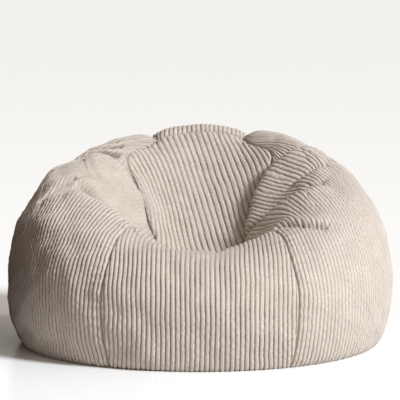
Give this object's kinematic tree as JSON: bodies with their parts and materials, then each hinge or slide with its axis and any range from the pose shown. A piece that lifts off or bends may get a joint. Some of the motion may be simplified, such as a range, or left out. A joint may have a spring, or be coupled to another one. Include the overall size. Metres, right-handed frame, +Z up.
{
  "type": "bean bag chair",
  "caption": "Round squat bean bag chair in wide-ribbed corduroy with a sat-in hollow, a low front rim, a high back and a zip in the rear base seam.",
  "frame": {"origin": "on the floor under the middle of the chair's plan outline", "axes": "+Z up, the sitter faces -Y, +X to the sitter's left"},
  "size_m": [0.9496, 0.8745, 0.5073],
  "materials": {
    "corduroy": "wide-wale cotton pile, matt with a soft sheen",
    "base_fabric": "wide-wale cotton pile, matt",
    "seam_fabric": "folded and stitched corduroy, matt",
    "zip_tape": "woven polyester tape, matt",
    "zip_coil": "nylon coil, semi-matt",
    "zip_metal": "tumbled nickel plate",
    "liner_fabric": "plain woven polyester, matt",
    "hook_tape": "moulded hook tape, matt",
    "loop_tape": "brushed loop tape, matt",
    "bead_foam": "expanded polystyrene beads, matt"
  },
  "bodies": {
    "bag": {"front_panel": "corduroy", "left_side_panel": "corduroy", "right_side_panel": "corduroy", "seat_back_panel": "corduroy", "rear_panel": "corduroy", "base_panel": "base_fabric", "left_side_seam": "seam_fabric", "right_side_seam": "seam_fabric", "seat_seam": "seam_fabric", "top_back_seam": "seam_fabric", "base_seam": "seam_fabric", "zip_tape_upper": "zip_tape", "zip_tape_lower": "zip_tape", "zip_coil_upper": "zip_coil", "zip_coil_lower": "zip_coil", "zip_stop_closed": "zip_metal", "zip_stop_open": "zip_metal", "inner_liner": "liner_fabric", "liner_hook_strip": "hook_tape", "liner_loop_strip": "loop_tape", "bead_fill": "bead_foam"},
    "zip_slider": {"zip_slider": "zip_metal"},
    "zip_pull": {"zip_pull_tab": "zip_metal"}
  },
  "joints": [
    {"name": "zip_run", "type": "hinge", "parent": "bag", "child": "zip_slider", "pos_m": [0, 0, 0.05], "axis": [0, 0, -1], "range_deg": [0, 62.34]},
    {"name": "pull_tab_swing", "type": "hinge", "parent": "zip_slider", "child": "zip_pull", "pos_m": [-0.22121, 0.36567, 0.04898], "axis": [-0.1546, 0.2556, 0.9543], "range_deg": [0, 170]}
  ]
}
